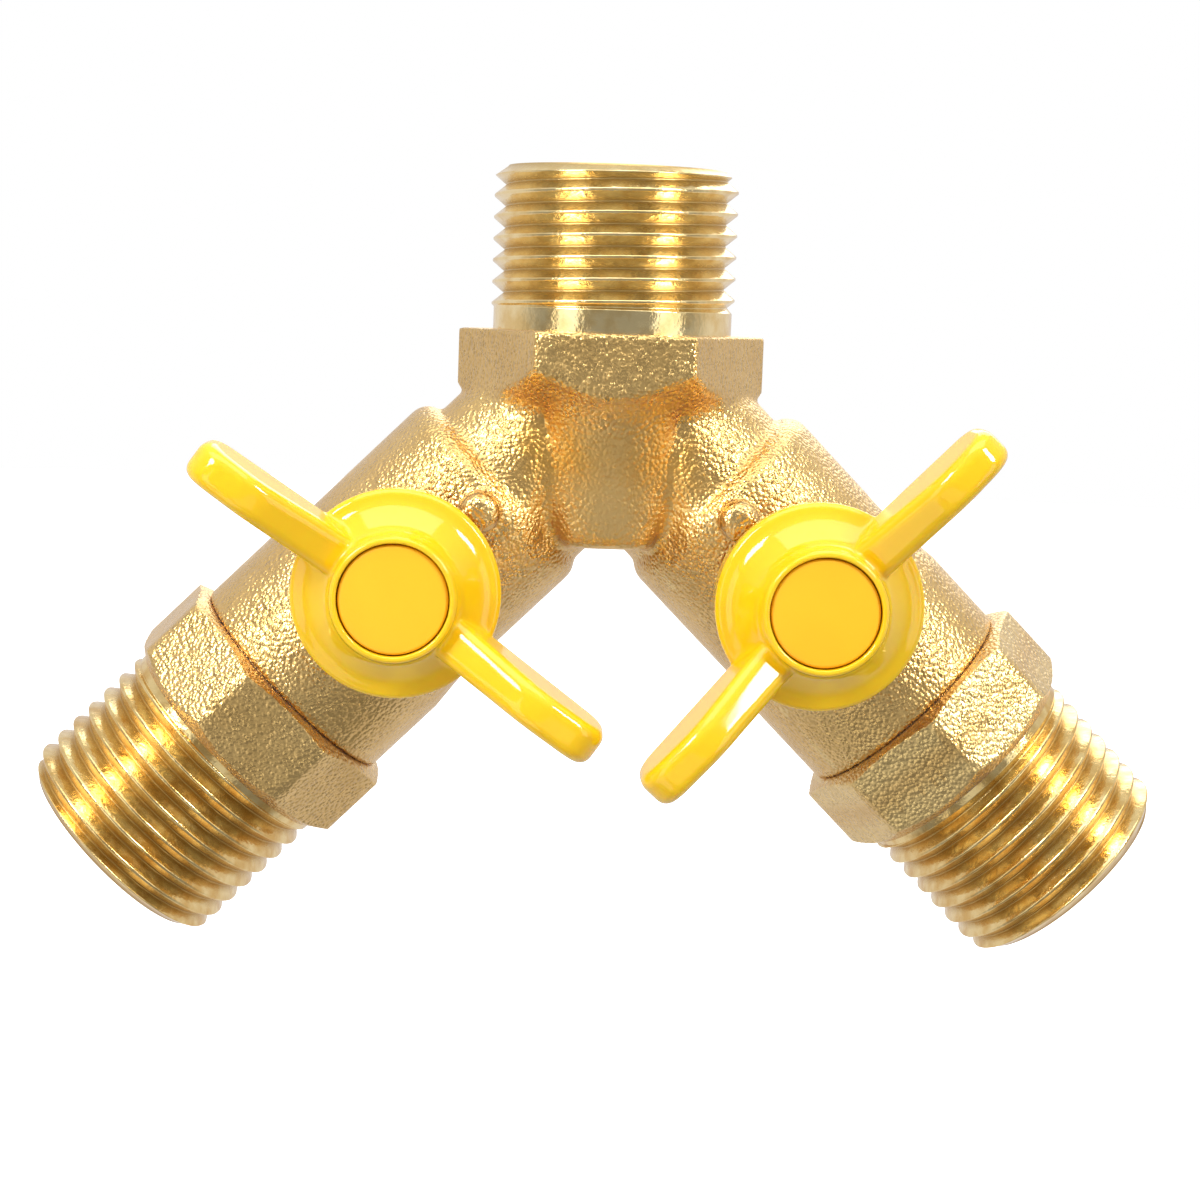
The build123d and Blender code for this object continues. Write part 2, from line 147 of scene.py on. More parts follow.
# --------------------------------------- mesh treatment, lengths in millimetres
WELD = 0.0005               # for the CAD meshes
AXIS_WELD = 0.00001         # for the rings of no radius
SHARP_ANGLE = math.radians(40.0)
BODY_VOXEL = 0.22
HANDLE_VOXEL = 0.14
WEIGHT_LEVELS = 20          # levels of a smoothing weight between 0 and 1
SMOOTHING = 0.5             # share of the way to its neighbours, in each step
FORK_STEPS = 120            # smoothing steps where the legs flow together
ARM_STEPS = 14
BELL_STEPS = 45
POLISH_STEPS = 6            # over a whole piece, against the voxels' traces

# Fades: a weight is 0 at the first value and 1 at the second.
# The web is the metal that fills the fork between the legs.
WEB_HALF = 5.2
WEB_BOW = 0.12              # share of its depth that the web loses at its sides
WEB_SIDE_FADE = (5.8, 5.3)          # across
WEB_BELOW_FADE = (-1.0, 3.0)        # below the junction
WEB_FACE_FADE = (6.5, 8.0)          # to the front or back

LEG_FADE = (13.0, 10.6)             # along the leg
LEG_FADE_INNER = (3.5, 2.0)         # added to that on the legs' inner side
INNER_SIDE_FADE = (0.0, 5.0)        # inward from a leg's axis
RIM_FADE = (0.3, 2.0)               # below the hexagon's rim
FOOT_FADE = (14.0, 11.0)            # below the junction, at the web's foot
FOOT_FACE_FADE = (4.0, 7.0)         # to the front or back, at the web's foot
FOOT_LEAST = 0.05
PORT_FADE = (7.6, 8.2)              # out from the inlet's axis
PORT_BELOW_FADE = (1.0, 6.0)        # below the junction

ARM_FADE = (8.6, 11.0)              # out from the stem's axis
BELL_INSIDE_FADE = (6.0, 6.6)       # out from the stem's axis
BELL_OUTSIDE_FADE = (8.1, 7.7)
BELL_LOW_FADE = (14.2, 14.6)        # up from the ball's centre
BELL_HIGH_FADE = (16.4, 15.9)


# ---------------------------------------------------------------- placement
def mount(name):
    """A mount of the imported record."""
    return next(m for m in frame["record"]["mounts"] if m["name"] == name)


def joint(name):
    """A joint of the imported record."""
    return next(j for j in frame["joints"] if j["name"] == name)


def frame_matrix(origin, x_axis, z_axis):
    """Local millimetres to metres, with the given origin and axes."""
    z = Vector(z_axis).normalized()
    x = Vector(x_axis).normalized()
    y = z.cross(x)
    turn = Matrix((x, y, z)).transposed().to_4x4()
    return Matrix.Translation(Vector(origin)) @ turn @ Matrix.Scale(MM, 4)


def leg_matrix(side):
    """Local Z runs out along the leg from the junction, local X to the front."""
    outlet = mount(side + "_outlet_bore")
    axis = Vector(outlet["axis"])
    junction = Vector(outlet["pos_m"]) - axis * LEG_LENGTH * MM
    return frame_matrix(junction, (0, -1, 0), axis)


def stem_matrix(side):
    """Local Z runs to the front from the ball's centre."""
    return frame_matrix(joint(side + "_valve")["pos_m"], (1, 0, 0), (0, -1, 0))


# -------------------------------------------------------------- mesh helpers
def new_piece(name, mesh, body, material):
    """Links a mesh as a piece that rides on a body."""
    piece = bpy.data.objects.new(name, mesh)
    bpy.context.scene.collection.objects.link(piece)
    piece.data.materials.clear()
    piece.data.materials.append(material)
    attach(piece, body)
    return piece


def turned_mesh(name, rows, segments, matrix, first_angle=0.0, smooth_rows=(0, 0)):
    """Mesh from rows of (height, radius); a radius may be a function of angle.

    The rows run round the closed section.  Edges between smooth_rows stay soft.
    """
    angles = first_angle + np.arange(segments) * 2 * math.pi / segments
    points = []
    for height, radius in rows:
        r = radius(angles, height) if callable(radius) else np.full(segments, radius)
        heights = np.full(segments, height)
        points.append(np.column_stack((r * np.cos(angles), r * np.sin(angles), heights)))
    points = np.concatenate(points)
    turn = np.array(matrix)
    points = points @ turn[:3, :3].T + turn[:3, 3]
    count = len(rows)
    row, column = np.meshgrid(np.arange(count), np.arange(segments), indexing="ij")
    next_row = (row + 1) % count
    next_column = (column + 1) % segments
    quads = np.stack((row * segments + column, row * segments + next_column,
                      next_row * segments + next_column, next_row * segments + column),
                     axis=-1).reshape(-1, 4)
    mesh = bpy.data.meshes.new(name)
    mesh.from_pydata(points.tolist(), [], quads.tolist())
    mesh.update()
    tidy_normals(mesh)
    soften_rows(mesh, smooth_rows[0] * segments, smooth_rows[1] * segments)
    return mesh


def soften_rows(mesh, first, last):
    """Takes the sharp mark off edges whose ends both lie from first up to last."""
    ends = np.empty(len(mesh.edges) * 2, np.int32)
    mesh.edges.foreach_get("vertices", ends)
    soft = ((ends >= first) & (ends < last)).reshape(-1, 2).all(axis=1)
    sharp = mesh.attributes["sharp_edge"].data
    flags = np.empty(len(sharp), bool)
    sharp.foreach_get("value", flags)
    sharp.foreach_set("value", flags & ~soft)


def close_axis(work):
    """Welds the rings of no radius and drops what is left between them."""
    bmesh.ops.remove_doubles(work, verts=work.verts, dist=AXIS_WELD * MM)
    loose = [edge for edge in work.edges if not edge.link_faces]
    bmesh.ops.delete(work, geom=loose, context="EDGES")


def tidy_normals(mesh):
    """Closes the mesh, turns it outward, smooths it and marks its sharp edges."""
    work = bmesh.new()
    work.from_mesh(mesh)
    close_axis(work)
    bmesh.ops.recalc_face_normals(work, faces=work.faces)
    if work.calc_volume(signed=True) < 0:
        bmesh.ops.reverse_faces(work, faces=work.faces)
    work.to_mesh(mesh)
    work.free()
    mesh.shade_smooth()
    mesh.set_sharp_from_angle(angle=SHARP_ANGLE)


def mesh_points(mesh):
    """The mesh's points in millimetres, one row each."""
    points = np.empty(len(mesh.vertices) * 3)
    mesh.vertices.foreach_get("co", points)
    return points.reshape(-1, 3) / MM


def apply_modifiers(piece):
    """Gives the piece the mesh that its modifiers make, and clears them."""
    graph = bpy.context.evaluated_depsgraph_get()
    piece.data = bpy.data.meshes.new_from_object(piece.evaluated_get(graph))
    piece.modifiers.clear()


def rounded_mesh(name, mesh, voxel, passes, reshape=None):
    """Voxel remesh of a closed mesh, then smoothed, so that its corners blend.

    Each pass is (steps, weight); a weight is a function of the points in
    millimetres that gives how far they follow the smoothing, or None for all.
    Reshape moves the remeshed points before the first pass.
    """
    work = bpy.data.objects.new(name + "_work", mesh)
    bpy.context.scene.collection.objects.link(work)
    remesh = work.modifiers.new("voxels", "REMESH")
    remesh.mode = "VOXEL"
    remesh.voxel_size = voxel * MM
    apply_modifiers(work)
    if reshape:
        moved = reshape(mesh_points(work.data)) * MM
        work.data.vertices.foreach_set("co", moved.ravel())
        work.data.update()
    for number, (steps, weight) in enumerate(passes):
        smooth = work.modifiers.new("rounding", "SMOOTH")
        smooth.factor = SMOOTHING
        smooth.iterations = steps
        if weight:
            weights = weight(mesh_points(work.data))
            levels = np.round(weights * WEIGHT_LEVELS).astype(int)
            group = work.vertex_groups.new(name="pass_%d" % number)
            for level in range(1, WEIGHT_LEVELS + 1):
                chosen = np.flatnonzero(levels == level).tolist()
                group.add(chosen, level / WEIGHT_LEVELS, "REPLACE")
            smooth.vertex_group = group.name
        apply_modifiers(work)
    result = work.data
    work.vertex_groups.clear()
    bpy.data.objects.remove(work)
    result.name = name
    result.shade_smooth()
    return result


def ramp(values, low, high):
    """0 at low, 1 at high, smooth between; low may be the larger."""
    t = np.clip((values - low) / (high - low), 0, 1)
    return t * t * (3 - 2 * t)


def cad_copy(node):
    """A loose copy of a CAD node's mesh, welded."""
    mesh = frame["nodes"][node].data.copy()
    work = bmesh.new()
    work.from_mesh(mesh)
    bmesh.ops.remove_doubles(work, verts=work.verts, dist=WELD * MM)
    work.to_mesh(mesh)
    work.free()
    return mesh


# ------------------------------------------------------------------ sections
def thread_radius(start, end, shift):
    """Radius of a right-hand helical thread as a function of angle and height.

    It starts at its run-out and ends at its tip.
    """
    flank = THREAD_PITCH / 2 - CREST_HALF

    def radius(angles, height):
        turns = height / THREAD_PITCH - angles / (2 * math.pi) - shift
        from_crest = np.abs((turns % 1.0) - 0.5) * THREAD_PITCH
        slope = np.clip((from_crest - CREST_HALF) / flank, 0, 1)
        thread = CREST_R - THREAD_DEPTH * slope
        lead = THREAD_ROOT_R - LEAD_INSET + abs(end - height) * LEAD_SLOPE
        runout = RUNOUT_R - abs(height - start) * RUNOUT_SLOPE
        return np.minimum(np.maximum(thread, runout), lead)

    return radius


def thread_rows(start, end, shift):
    """Rows for a threaded length, from its run-out to its tip."""
    count = int(abs(end - start) / THREAD_STEP)
    radius = thread_radius(start, end, shift)
    return [(start + (end - start) * number / count, radius) for number in range(count + 1)]


def octagon_radius(first_corner):
    """Radius of an octagon with worn corners, chamfered at the seam, coned at its end."""
    half_side = math.pi / 8
    half_across = OCT_ACROSS_FLATS / 2
    corner = half_across / math.cos(half_side)

    def radius(angles, height):
        inset = 0.0
        if height > OCT_CONE_START:
            inset = (height - OCT_CONE_START) * OCT_CONE_SLOPE
        if height < OCT_START + SEAM_CHAMFER:
            inset = (OCT_START + SEAM_CHAMFER - height) * SEAM_CHAMFER_DEPTH / SEAM_CHAMFER
        local = (angles - first_corner) % (2 * half_side) - half_side
        flat = half_across / np.cos(local)
        wear = np.clip((flat - corner + OCT_CORNER_REACH) / OCT_CORNER_REACH, 0, 1) ** 2
        worn = flat - OCT_CORNER_WEAR * wear
        return np.maximum(np.minimum(worn, corner - inset), RUNOUT_R)

    return radius


# ------------------------------------------------------------ material tones
# Colours are linear.  The painted shade spots and the web have their place in millimetres.
CAST_DARK = (0.72, 0.466, 0.163, 1)
CAST_LIGHT = (0.82, 0.562, 0.224, 1)
# painted shade: the browner tone of the casting's hollows and creases
CAST_HOLLOW_SHADE = (0.58, 0.42, 0.20, 1)
CAST_WORN = (0.90, 0.68, 0.30, 1)
# painted warm shade from the brass's own reflections, on the fork's concave sides
CAST_WARM_SHADE = (0.76, 0.40, 0.07, 1)
# painted shade for the recesses just under the hexagon's front corners
CAST_SPOT_SHADE = (0.38, 0.27, 0.13, 1)
WARM_SHADE_STRENGTH = (0.5, 0.95)         # of the painted warm shade where it is thin and where thick
SHADE_SPOT_STRENGTH = (0.15, 0.7)
WARM_SHADE_SPOTS = (((-4.8, -9.0, -23.5), 7.0), ((5.0, -9.0, -24.5), 6.2))   # centre, reach
SHADE_SPOTS = (((-6.3, -9.6, -19.2), 3.4), ((6.0, -9.8, -19.6), 3.0))
WEB_CENTRE = (0.0, -9.0, -26.5)
WEB_REACH = 10.0
WEB_ROUGHNESS = 0.38
GRAIN_STRENGTH = 0.85
WEB_GRAIN_STRENGTH = 0.48

# darker and lighter tone of each turned brass
INLET_BRASS = ((0.84, 0.60, 0.25), (0.95, 0.76, 0.40))
OUTLET_BRASS = ((0.74, 0.47, 0.15), (0.90, 0.69, 0.32))
ROOT_SHADE = 0.76                   # of the darker tone, at a thread's roots
ROOT_ROUGHNESS = 0.34
ROOT_END = 0.40                     # millimetres below the crest

HANDLE_DARK = (0.86, 0.53, 0.006, 1)
HANDLE_LIGHT = (0.90, 0.565, 0.009, 1)
CAP_DARK = (0.91, 0.45, 0.009, 1)
CAP_LIGHT = (0.94, 0.49, 0.012, 1)

# Material, lighter tone, darker tone, metallic, roughness, noise scale, bump.
# The inner parts' finishes go by what the CAD nodes' names hold.
KNOB_FINISH = ("knob_brass", (0.68, 0.47, 0.20), (0.48, 0.31, 0.12), 1.0, 0.13, 900.0, 0.10)
INNER_FINISHES = {
    "_ball": ("ball_chrome", (0.80, 0.81, 0.83), (0.74, 0.75, 0.77), 1.0, 0.08, 900.0, 0.05),
    "_stem": ("stem_brass", (0.83, 0.61, 0.30), (0.76, 0.54, 0.25), 1.0, 0.25, 1500.0, 0.2),
    "_inner_seat": ("seat_ptfe", (0.88, 0.88, 0.86), (0.82, 0.82, 0.80), 0.0, 0.45, 2000.0, 0.2),
    "_joint_seal": ("seal_fibre", (0.30, 0.11, 0.08), (0.20, 0.07, 0.05), 0.0, 0.80, 3000.0, 0.6),
    "_stem_o_ring": ("o_ring_rubber", (0.03, 0.03, 0.03), (0.02, 0.02, 0.02), 0.0, 0.50, 2500.0, 0.2),
    "_handle_screw": ("screw_zinc", (0.66, 0.67, 0.68), (0.56, 0.57, 0.59), 1.0, 0.30, 2500.0, 0.2),
}
SAME_FINISH = {"_outer_seat": "_inner_seat", "_thrust_washer": "_inner_seat",
               "_lock_washer": "_handle_screw"}


# ----------------------------------------------------------- shader helpers
# The mix node has one set of sockets per data type; these are the colour ones.
MIX_COLOUR_INPUTS = (6, 7)
MIX_COLOUR_OUTPUT = 2


def node_material(name):
    """New material with its node tree and its shader."""
    material = bpy.data.materials.new(name)
    material.use_nodes = True
    tree = material.node_tree
    return material, tree, tree.nodes["Principled BSDF"]


def grey(value):
    """Opaque grey."""
    return (value, value, value, 1.0)


def add_noise(tree, scale, detail):
    """Noise value in object coordinates; scale is in cells per metre."""
    place = tree.nodes.new("ShaderNodeTexCoord")
    noise = tree.nodes.new("ShaderNodeTexNoise")
    noise.inputs["Scale"].default_value = scale
    noise.inputs["Detail"].default_value = detail
    tree.links.new(place.outputs["Object"], noise.inputs["Vector"])
    return noise.outputs["Fac"]


def add_tones(tree, source, low, high):
    """Colour over a 0 to 1 source, between two stops of (position, colour)."""
    tones = tree.nodes.new("ShaderNodeValToRGB")
    elements = tones.color_ramp.elements
    elements[0].position, elements[0].color = low
    elements[1].position, elements[1].color = high
    tree.links.new(source, tones.inputs["Fac"])
    return tones.outputs["Color"]


def noise_tones(tree, scale, detail, low, high):
    """Colour that wanders between two stops with a noise of its own."""
    return add_tones(tree, add_noise(tree, scale, detail), low, high)


def add_bump(tree, source, distance, strength, under=None):
    """Bump node, its distance in metres; under is the bump it sits on."""
    bump = tree.nodes.new("ShaderNodeBump")
    bump.inputs["Distance"].default_value = distance
    bump.inputs["Strength"].default_value = strength
    tree.links.new(source, bump.inputs["Height"])
    if under:
        tree.links.new(under.outputs["Normal"], bump.inputs["Normal"])
    return bump


def mix_colours(tree, factor, low, high):
    """Mixes two colours by a factor socket; a colour is a socket or a value."""
    mix = tree.nodes.new("ShaderNodeMix")
    mix.data_type = "RGBA"
    tree.links.new(factor, mix.inputs["Factor"])
    for number, value in zip(MIX_COLOUR_INPUTS, (low, high)):
        if isinstance(value, tuple):
            mix.inputs[number].default_value = value
        else:
            tree.links.new(value, mix.inputs[number])
    return mix.outputs[MIX_COLOUR_OUTPUT]


def add_math(tree, operation, first, second):
    """Result of an operation on two value sockets."""
    node = tree.nodes.new("ShaderNodeMath")
    node.operation = operation
    tree.links.new(first, node.inputs[0])
    tree.links.new(second, node.inputs[1])
    return node.outputs["Value"]


def add_vector_math(tree, operation, first, second=None):
    """Vector operation on a socket and, if given, a fixed vector."""
    node = tree.nodes.new("ShaderNodeVectorMath")
    node.operation = operation
    tree.links.new(first, node.inputs[0])
    if second is not None:
        node.inputs[1].default_value = second
    return node


def smooth_range(tree, source, low, high):
    """0 at low, 1 at high, smooth between; low may be the larger."""
    fade = tree.nodes.new("ShaderNodeMapRange")
    fade.interpolation_type = "SMOOTHSTEP"
    fade.inputs["From Min"].default_value = low
    fade.inputs["From Max"].default_value = high
    tree.links.new(source, fade.inputs["Value"])
    return fade.outputs["Result"]


def near_spot(tree, spot, reach):
    """Factor that falls from 1 at a spot to 0 at the reach, both in millimetres."""
    place = tree.nodes.new("ShaderNodeTexCoord")
    gap = add_vector_math(tree, "DISTANCE", place.outputs["Object"], Vector(spot) * MM)
    return smooth_range(tree, gap.outputs["Value"], reach * MM, 0.0)


def painted_shade_spots(tree, spots, strength):
    """Factor of ragged patches of painted shade; spots are (centre, reach), strength is (thin, thick)."""
    total = None
    for spot, reach in spots:
        near = near_spot(tree, spot, reach)
        total = near if total is None else add_math(tree, "MAXIMUM", total, near)
    thin, thick = strength
    blotch = noise_tones(tree, 350.0, 3.0, (0.35, grey(thin)), (0.65, grey(thick)))
    return add_math(tree, "MULTIPLY", total, blotch)


def distance_from_axis(tree, matrix):
    """Distance in metres from a placed frame's Z axis."""
    place = tree.nodes.new("ShaderNodeTexCoord")
    offset = add_vector_math(tree, "SUBTRACT", place.outputs["Object"], matrix.translation)
    axis = matrix.col[2].xyz.normalized()
    across = add_vector_math(tree, "CROSS_PRODUCT", offset.outputs["Vector"], axis)
    return add_vector_math(tree, "LENGTH", across.outputs["Vector"]).outputs["Value"]


# ---------------------------------------------------------------- materials
def cast_colour(tree):
    """The casting's skin, with painted shade in its hollows, painted warm shade and painted shade spots about the
    fork, pale on corners.
    """
    skin = noise_tones(tree, 160.0, 4.0, (0.30, CAST_DARK), (0.70, CAST_LIGHT))
    shape = tree.nodes.new("ShaderNodeNewGeometry").outputs["Pointiness"]
    # painted shade: browner where the surface is concave
    hollow_shade = add_tones(tree, shape, (0.38, grey(0.3)), (0.48, grey(0.0)))
    hollow_shaded = mix_colours(tree, hollow_shade, skin, CAST_HOLLOW_SHADE)
    # painted warm shade: deep orange on the concave sides of the fork below the junction
    warm_shade = painted_shade_spots(tree, WARM_SHADE_SPOTS, WARM_SHADE_STRENGTH)
    warm_shaded = mix_colours(tree, warm_shade, hollow_shaded, CAST_WARM_SHADE)
    # painted shade: darker brown in the recesses under the hexagon's front corners
    spot_shade = painted_shade_spots(tree, SHADE_SPOTS, SHADE_SPOT_STRENGTH)
    spot_shaded = mix_colours(tree, spot_shade, warm_shaded, CAST_SPOT_SHADE)
    worn = add_tones(tree, shape, (0.52, grey(0.0)), (0.62, grey(0.6)))
    return mix_colours(tree, worn, spot_shaded, CAST_WORN)


def cast_grain(tree, web):
    """Bump of lumps, round blasted grain that is shallower on the web, and grit."""
    low = add_bump(tree, add_noise(tree, 900.0, 2.0), 0.00010, 0.4)
    place = tree.nodes.new("ShaderNodeTexCoord")
    cells = tree.nodes.new("ShaderNodeTexVoronoi")
    cells.feature = "SMOOTH_F1"
    cells.inputs["Scale"].default_value = 3000.0
    cells.inputs["Smoothness"].default_value = 0.35
    tree.links.new(place.outputs["Object"], cells.inputs["Vector"])
    grain = add_bump(tree, cells.outputs["Distance"], 0.00013, GRAIN_STRENGTH, low)
    grain.invert = True
    depth = add_tones(tree, web, (0.0, grey(GRAIN_STRENGTH)), (0.8, grey(WEB_GRAIN_STRENGTH)))
    tree.links.new(depth, grain.inputs["Strength"])
    return add_bump(tree, add_noise(tree, 3800.0, 2.0), 0.00006, 0.7, grain)


def cast_brass():
    """Blasted cast brass with a faint bloom, duller on the web."""
    material, tree, shader = node_material("cast_brass")
    shader.inputs["Metallic"].default_value = 1.0
    shader.inputs["Sheen Weight"].default_value = 0.12
    shader.inputs["Sheen Roughness"].default_value = 0.5
    tree.links.new(cast_colour(tree), shader.inputs["Base Color"])
    web = near_spot(tree, WEB_CENTRE, WEB_REACH)
    gloss = noise_tones(tree, 700.0, 2.0, (0.3, grey(0.22)), (0.7, grey(0.34)))
    dulled = mix_colours(tree, web, gloss, grey(WEB_ROUGHNESS))
    tree.links.new(dulled, shader.inputs["Roughness"])
    tree.links.new(cast_grain(tree, web).outputs["Normal"], shader.inputs["Normal"])
    return material


def machined_brass(name, matrix, tones):
    """Turned brass between two tones, browner and duller at a thread's roots."""
    dark, light = tones
    root = tuple(ROOT_SHADE * level for level in dark)
    material, tree, shader = node_material(name)
    shader.inputs["Metallic"].default_value = 1.0
    depth = tree.nodes.new("ShaderNodeMapRange")
    depth.inputs["From Min"].default_value = THREAD_ROOT_R * MM
    depth.inputs["From Max"].default_value = (CREST_R - ROOT_END) * MM
    tree.links.new(distance_from_axis(tree, matrix), depth.inputs["Value"])
    bright = noise_tones(tree, 550.0, 4.0, (0.36, (*dark, 1)), (0.60, (*light, 1)))
    colour = mix_colours(tree, depth.outputs["Result"], (*root, 1), bright)
    tree.links.new(colour, shader.inputs["Base Color"])
    gloss = noise_tones(tree, 1500.0, 2.0, (0.3, grey(0.12)), (0.7, grey(0.22)))
    dull = mix_colours(tree, depth.outputs["Result"], grey(ROOT_ROUGHNESS), gloss)
    tree.links.new(dull, shader.inputs["Roughness"])
    bump = add_bump(tree, add_noise(tree, 2200.0, 2.0), 0.00006, 0.5)
    tree.links.new(bump.outputs["Normal"], shader.inputs["Normal"])
    return material


def glossy_plastic():
    """Glossy yellow moulding with faint flow waves."""
    material, tree, shader = node_material("handle_plastic")
    colour = noise_tones(tree, 90.0, 2.0, (0.3, HANDLE_DARK), (0.7, HANDLE_LIGHT))
    tree.links.new(colour, shader.inputs["Base Color"])
    shader.inputs["Roughness"].default_value = 0.08
    shader.inputs["Subsurface Weight"].default_value = 0.3
    shader.inputs["Subsurface Radius"].default_value = (1.0, 0.55, 0.08)
    shader.inputs["Subsurface Scale"].default_value = 0.0015
    shader.inputs["IOR"].default_value = 1.6
    bump = add_bump(tree, add_noise(tree, 220.0, 1.0), 0.0001, 0.10)
    tree.links.new(bump.outputs["Normal"], shader.inputs["Normal"])
    return material


def matte_cap():
    """Satin orange-yellow moulding with a spark-eroded texture."""
    material, tree, shader = node_material("cap_plastic")
    colour = noise_tones(tree, 120.0, 2.0, (0.3, CAP_DARK), (0.7, CAP_LIGHT))
    tree.links.new(colour, shader.inputs["Base Color"])
    shader.inputs["Roughness"].default_value = 0.38
    bump = add_bump(tree, add_noise(tree, 6000.0, 2.0), 0.00003, 0.5)
    tree.links.new(bump.outputs["Normal"], shader.inputs["Normal"])
    return material


def plain_finish(name, light, dark, metallic, roughness, scale, bump_strength):
    """Material of a small part: two close tones, a roughness and a fine bump."""
    material, tree, shader = node_material(name)
    shader.inputs["Metallic"].default_value = metallic
    shader.inputs["Roughness"].default_value = roughness
    noise = add_noise(tree, scale, 3.0)
    colour = add_tones(tree, noise, (0.35, (*dark, 1)), (0.65, (*light, 1)))
    tree.links.new(colour, shader.inputs["Base Color"])
    bump = add_bump(tree, noise, 0.00003, bump_strength)
    tree.links.new(bump.outputs["Normal"], shader.inputs["Normal"])
    return material


# ------------------------------------------------------------------- pieces
def below_junction(points):
    """How far points lie below the point where the legs' axes meet."""
    junction = np.array(leg_matrix("left").translation) / MM
    return junction[2] - points[:, 2]


def crowned(points):
    """Points with the web's flat front and back bowed, deepest in the middle."""
    middle = ramp(np.abs(points[:, 0]), *WEB_SIDE_FADE)
    middle *= ramp(below_junction(points), *WEB_BELOW_FADE)
    middle *= ramp(np.abs(points[:, 1]), *WEB_FACE_FADE)
    moved = points.copy()
    moved[:, 1] *= 1 - middle * WEB_BOW * (points[:, 0] / WEB_HALF) ** 2
    return moved


def fork_weight(points):
    """1 where the legs, the web and the core flow together, 0 on machined ends."""
    below = below_junction(points)
    out = np.abs(points[:, 0])
    depth = np.abs(points[:, 1])
    along = (out + below) * math.sqrt(0.5)
    inner = ramp((below - out) * math.sqrt(0.5), *INNER_SIDE_FADE)
    leg_end = LEG_FADE[0] + LEG_FADE_INNER[0] * inner
    leg_full = LEG_FADE[1] + LEG_FADE_INNER[1] * inner
    flat = np.clip(out / HEX_CORNER, 0, 1)
    rim = HEX_ARC_LOW - HEX_ARC_RISE * flat ** 2
    rim += np.maximum(out - HEX_CORNER, 0) * HEX_SIDE_SLOPE
    foot_face = FOOT_LEAST + (1 - FOOT_LEAST) * ramp(depth, *FOOT_FACE_FADE)
    foot = np.maximum(ramp(below, *FOOT_FADE), foot_face)
    near = ramp(along, leg_end, leg_full) * ramp(below - rim, *RIM_FADE) * foot
    port = ramp(np.hypot(points[:, 0], points[:, 1]), *PORT_FADE)
    return near * np.maximum(port, ramp(below, *PORT_BELOW_FADE))


def stem_polar(side, points):
    """Distance out from a stem's axis and height up it."""
    to_local = np.array(stem_matrix(side).inverted())
    local = points * MM @ to_local[:3, :3].T + to_local[:3, 3]
    return np.hypot(local[:, 0], local[:, 1]), local[:, 2]


def arm_weight(side):
    """Weight that is 1 on a handle's arms and 0 on its hub."""
    def weight(points):
        out, _ = stem_polar(side, points)
        return ramp(out, *ARM_FADE)

    return weight


def bell_weight(side):
    """Weight that is 1 where a handle's flange runs up into its bell."""
    def weight(points):
        out, up = stem_polar(side, points)
        height = ramp(up, *BELL_LOW_FADE) * ramp(up, *BELL_HIGH_FADE)
        return ramp(out, *BELL_INSIDE_FADE) * ramp(out, *BELL_OUTSIDE_FADE) * height

    return weight


def make_casting(material):
    """The cast body without its threaded neck, corners blended and rounded."""
    mesh = cad_copy("valve_body")
    work = bmesh.new()
    work.from_mesh(mesh)
    cut = -(SHOULDER + NECK_CUT) * MM
    everything = work.verts[:] + work.edges[:] + work.faces[:]
    bmesh.ops.bisect_plane(work, geom=everything, plane_co=(0, 0, cut),
                           plane_no=(0, 0, 1), clear_outer=True)
    rim = [edge for edge in work.edges if edge.is_boundary]
    bmesh.ops.triangle_fill(work, edges=rim, use_beauty=True)
    bmesh.ops.recalc_face_normals(work, faces=work.faces)
    work.to_mesh(mesh)
    work.free()
    passes = ((FORK_STEPS, fork_weight), (POLISH_STEPS, None))
    rounded = rounded_mesh("body_casting", mesh, BODY_VOXEL, passes, crowned)
    piece = new_piece("body_casting", rounded, "splitter_body", material)
    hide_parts("valve_body")


def make_inlet_thread(material):
    """Threaded neck of the inlet, from inside the hexagon to the end face."""
    rows = [(-SHOULDER - NECK_OVERLAP, PORT_R), (-SHOULDER - NECK_OVERLAP, RUNOUT_R)]
    rows += [(-SHOULDER, RUNOUT_R), (-INLET_THREAD - NECK_GAP, RUNOUT_R)]
    first = len(rows)
    rows += thread_rows(-INLET_THREAD, -TIP_LENGTH, THREAD_SHIFT["inlet"])
    last = len(rows)
    rows += [(0.0, FACE_R), (0.0, PORT_R + MOUTH_CHAMFER), (-MOUTH_CHAMFER, PORT_R)]
    mesh = turned_mesh("inlet_thread", rows, THREAD_SEGMENTS, Matrix.Scale(MM, 4),
                       smooth_rows=(first, last))
    new_piece("inlet_thread", mesh, "splitter_body", material)


def octagon_rows(first_corner):
    """Rows of an end connector's octagon: seam chamfer, flats and cone."""
    heights = [OCT_START + SEAM_CHAMFER * step / SEAM_CHAMFER_STEPS
               for step in range(SEAM_CHAMFER_STEPS + 1)]
    heights += [*OCT_HEIGHTS, OCT_CONE_START]
    heights += [OCT_CONE_START + OCT_CONE_STEP * step for step in range(1, OCT_CONE_STEPS + 1)]
    octagon = octagon_radius(first_corner)
    return [(height, octagon) for height in heights]


